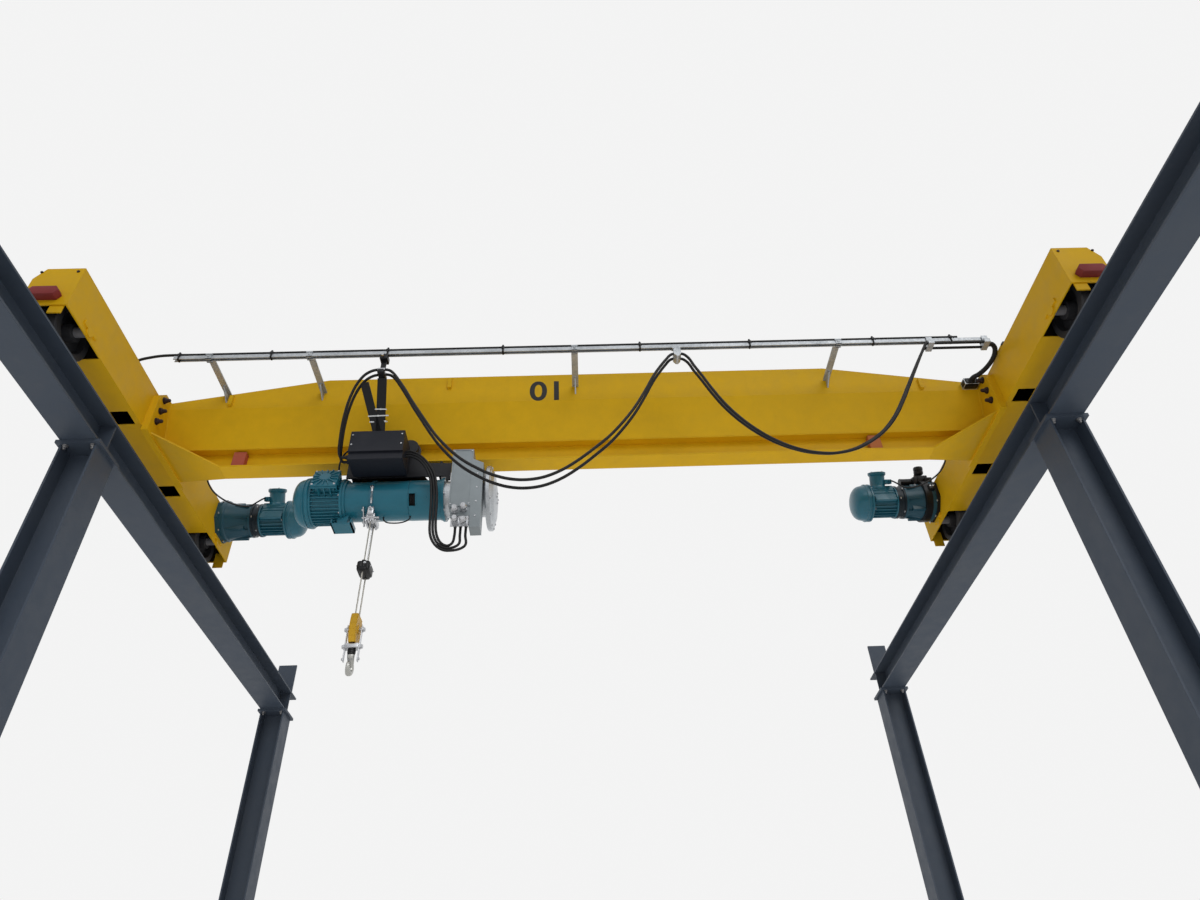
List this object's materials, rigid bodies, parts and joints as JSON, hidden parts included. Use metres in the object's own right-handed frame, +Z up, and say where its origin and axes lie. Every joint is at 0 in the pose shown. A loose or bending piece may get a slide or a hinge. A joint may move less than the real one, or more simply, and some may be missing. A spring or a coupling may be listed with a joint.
{
  "type": "overhead bridge crane",
  "caption": "Single-girder overhead travelling crane on a steel runway, with an underslung rope hoist trolley and a festoon cable line.",
  "frame": {"origin": "floor level, midway between the two runways and midway along them", "axes": "+X along the girder to the right, +Y along the runway away from the viewer, +Z up"},
  "size_m": [5.8, 7.55, 5.515],
  "materials": {
    "steel_paint": "satin",
    "rail_steel": "worn",
    "crane_paint": "satin",
    "buffer_rubber": "matte",
    "bare_steel": "satin",
    "wheel_iron": "worn",
    "gear_paint": "satin",
    "motor_paint": "satin",
    "galvanised": "zinc",
    "cable_skin": "matte",
    "black_steel": "satin",
    "cover_alloy": "satin",
    "panel_grey": "satin",
    "black_plastic": "fine grain",
    "wire_rope": "greased",
    "block_paint": "satin",
    "hook_steel": "forged"
  },
  "bodies": {
    "runway": {"columns_left": "steel_paint", "columns_right": "steel_paint", "runway_beam_left": "steel_paint", "runway_beam_right": "steel_paint", "crane_rails": "rail_steel", "runway_stops": "steel_paint"},
    "bridge": {"carriage_left": "crane_paint", "carriage_right": "crane_paint", "buffers": "buffer_rubber", "rail_guards": "crane_paint", "wheel_axles": "bare_steel", "girder_box": "crane_paint", "girder_track": "crane_paint", "girder_ends": "crane_paint", "track_stops": "buffer_rubber", "travel_gearbox_left": "gear_paint", "travel_gearbox_right": "gear_paint", "travel_motor_left": "motor_paint", "travel_motor_right": "motor_paint", "cable_rail": "galvanised", "cable_arms": "galvanised", "rail_cable": "cable_skin", "festoon_cable_near": "cable_skin", "festoon_cable_far": "cable_skin", "drive_cables": "cable_skin"},
    "wheel_front_left": {"wheel_front_left": "wheel_iron"},
    "wheel_front_right": {"wheel_front_right": "wheel_iron"},
    "wheel_rear_left": {"wheel_rear_left": "wheel_iron"},
    "wheel_rear_right": {"wheel_rear_right": "wheel_iron"},
    "trolley": {"trolley_frame": "black_steel", "trolley_wheels": "wheel_iron", "drum_casing": "motor_paint", "hoist_motor": "motor_paint", "hoist_gearbox": "cover_alloy", "hoist_panel": "panel_grey", "switch_box": "black_plastic", "tow_arm": "black_steel", "rope_guide": "bare_steel", "limit_weight": "black_steel", "hoist_ropes": "wire_rope", "box_cable_near": "cable_skin", "box_cable_far": "cable_skin", "panel_cables": "cable_skin"},
    "hook_block": {"hook_block": "block_paint"},
    "hook_sheave": {"hook_sheave": "wheel_iron"},
    "hook": {"hook": "hook_steel"},
    "cable_carrier": {"cable_carrier": "galvanised"}
  },
  "joints": [
    {"name": "bridge_travel", "type": "slide", "parent": "runway", "child": "bridge", "axis": [0, 1, 0], "range_m": [-2.81, 1.91]},
    {"name": "trolley_travel", "type": "slide", "parent": "bridge", "child": "trolley", "axis": [1, 0, 0], "range_m": [-0.65, 2.78], "deforming": ["festoon_cable_near", "festoon_cable_far"]},
    {"name": "hook_lift", "type": "slide", "parent": "trolley", "child": "hook_block", "axis": [0, 0, 1], "range_m": [-3.3, 0.2], "deforming": ["hoist_ropes"]},
    {"name": "sheave_spin", "type": "hinge", "parent": "hook_block", "child": "hook_sheave", "pos_m": [-1.225, 0.45, 3.8], "axis": [1, 0, 0], "range_deg": [-5000, 310]},
    {"name": "hook_swivel", "type": "hinge", "parent": "hook_block", "child": "hook", "pos_m": [-1.225, 0.45, 3.68], "axis": [0, 0, 1], "continuous": true},
    {"name": "carrier_travel", "type": "slide", "parent": "bridge", "child": "cable_carrier", "axis": [1, 0, 0], "range_m": [-0.33, 1.4]},
    {"name": "wheel_front_left_spin", "type": "hinge", "parent": "bridge", "child": "wheel_front_left", "pos_m": [-2.725, -0.55, 5.0753], "axis": [1, 0, 0], "range_deg": [-1300, 1300]},
    {"name": "wheel_front_right_spin", "type": "hinge", "parent": "bridge", "child": "wheel_front_right", "pos_m": [2.725, -0.55, 5.0753], "axis": [1, 0, 0], "range_deg": [-1300, 1300]},
    {"name": "wheel_rear_left_spin", "type": "hinge", "parent": "bridge", "child": "wheel_rear_left", "pos_m": [-2.725, 1.45, 5.0753], "axis": [1, 0, 0], "range_deg": [-1300, 1300]},
    {"name": "wheel_rear_right_spin", "type": "hinge", "parent": "bridge", "child": "wheel_rear_right", "pos_m": [2.725, 1.45, 5.0753], "axis": [1, 0, 0], "range_deg": [-1300, 1300]}
  ],
  "couplings": [
    {"joint": "carrier_travel", "follows": "trolley_travel", "ratio": 0.5},
    {"joint": "sheave_spin", "follows": "hook_lift", "rad_per_m": 26.3},
    {"joint": "wheel_front_left_spin", "follows": "bridge_travel", "rad_per_m": -7.4074},
    {"joint": "wheel_front_right_spin", "follows": "bridge_travel", "rad_per_m": -7.4074},
    {"joint": "wheel_rear_left_spin", "follows": "bridge_travel", "rad_per_m": -7.4074},
    {"joint": "wheel_rear_right_spin", "follows": "bridge_travel", "rad_per_m": -7.4074}
  ]
}
